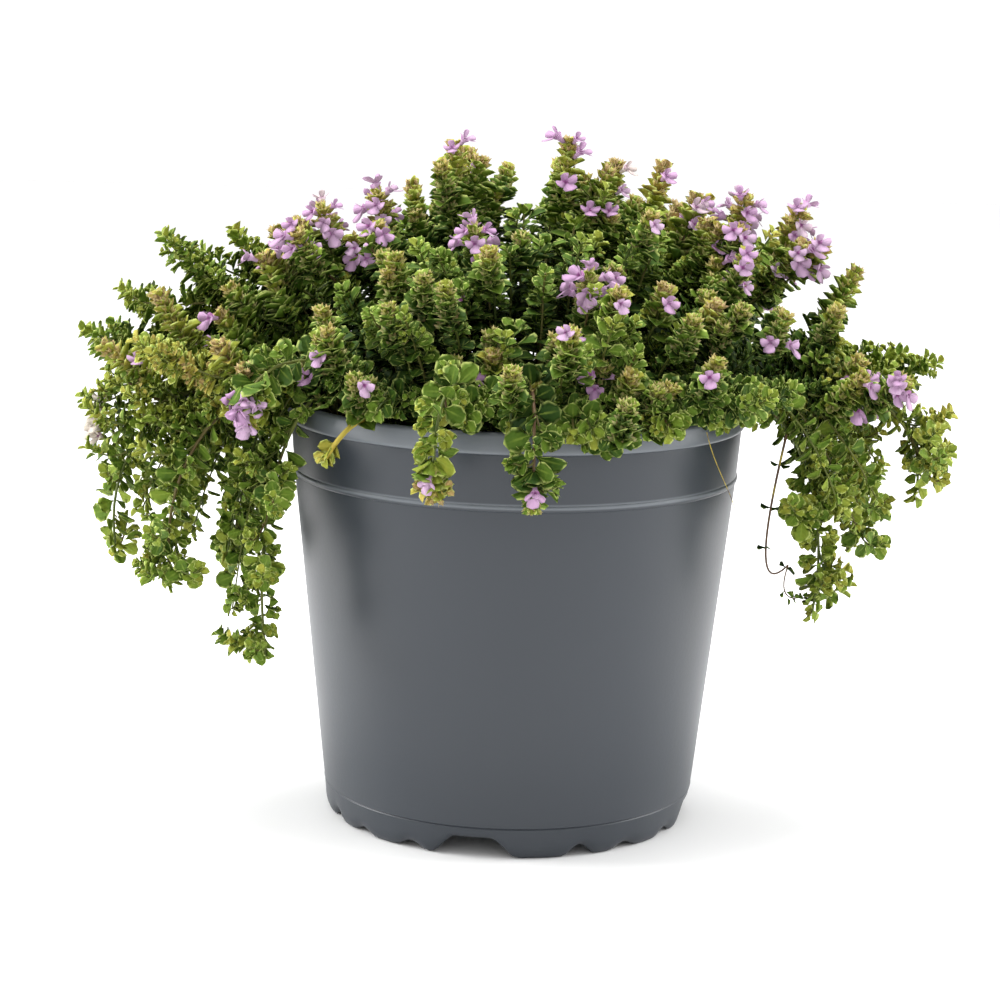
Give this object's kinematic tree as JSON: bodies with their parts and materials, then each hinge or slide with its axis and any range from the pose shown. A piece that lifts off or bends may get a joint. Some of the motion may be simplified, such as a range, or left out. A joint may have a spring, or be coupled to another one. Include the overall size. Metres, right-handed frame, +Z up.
{
  "type": "potted creeping thyme",
  "caption": "Creeping thyme in flower in a round tapered nursery pot, with upright flowering shoots and stems trailing over the rim.",
  "frame": {"origin": "on the floor, on the pot's axis, below the centre of the pot's base", "axes": "+Z up along the pot's axis, +X to the right seen from the front, -Y towards the front"},
  "size_m": [0.2594, 0.1984, 0.2103],
  "materials": {
    "pot": "grey satin moulded plastic, slightly lighter along the bead and the lip",
    "compost": "dark moist peat compost with fibres and crumbs",
    "leaf": "small waxy green leaves with pale margins, yellow-green bracts and brownish calyx tips",
    "flower": "soft mauve-pink petals with darker throats"
  },
  "bodies": {
    "root": {"bloom_01": "flower", "bloom_02": "flower", "bloom_03": "flower", "bloom_04": "flower", "bloom_05": "flower", "bloom_06": "flower", "bloom_07": "flower", "compost": "compost", "flower_shoot_01": "leaf", "flower_shoot_02": "leaf", "flower_shoot_03": "leaf", "flower_shoot_04": "leaf", "flower_shoot_05": "leaf", "flower_shoot_06": "leaf", "flower_shoot_07": "leaf", "flower_shoot_08": "leaf", "flower_shoot_09": "leaf", "flower_shoot_10": "leaf", "flower_shoot_11": "leaf", "flower_shoot_12": "leaf", "flower_shoot_13": "leaf", "flower_shoot_14": "leaf", "flower_shoot_15": "leaf", "flower_shoot_16": "leaf", "flower_shoot_17": "leaf", "flower_shoot_18": "leaf", "flower_shoot_19": "leaf", "flower_shoot_20": "leaf", "flower_shoot_21": "leaf", "flower_shoot_22": "leaf", "flower_shoot_23": "leaf", "flower_shoot_24": "leaf", "flower_shoot_25": "leaf", "flower_shoot_26": "leaf", "flower_shoot_27": "leaf", "flower_shoot_28": "leaf", "flower_shoot_29": "leaf", "hanging_shoot_01": "leaf", "hanging_shoot_02": "leaf", "hanging_shoot_03": "leaf", "leafy_shoot_01": "leaf", "leafy_shoot_02": "leaf", "leafy_shoot_03": "leaf", "leafy_shoot_04": "leaf", "leafy_shoot_05": "leaf", "leafy_shoot_06": "leaf", "leafy_shoot_07": "leaf", "leafy_shoot_08": "leaf", "leafy_shoot_09": "leaf", "pot": "pot", "trailing_stem_01": "leaf", "trailing_stem_02": "leaf", "trailing_stem_03": "leaf", "trailing_stem_04": "leaf", "trailing_stem_05": "leaf", "trailing_stem_06": "leaf", "trailing_stem_07": "leaf", "trailing_stem_08": "leaf", "trailing_stem_09": "leaf", "trailing_stem_10": "leaf"}
  },
  "joints": []
}
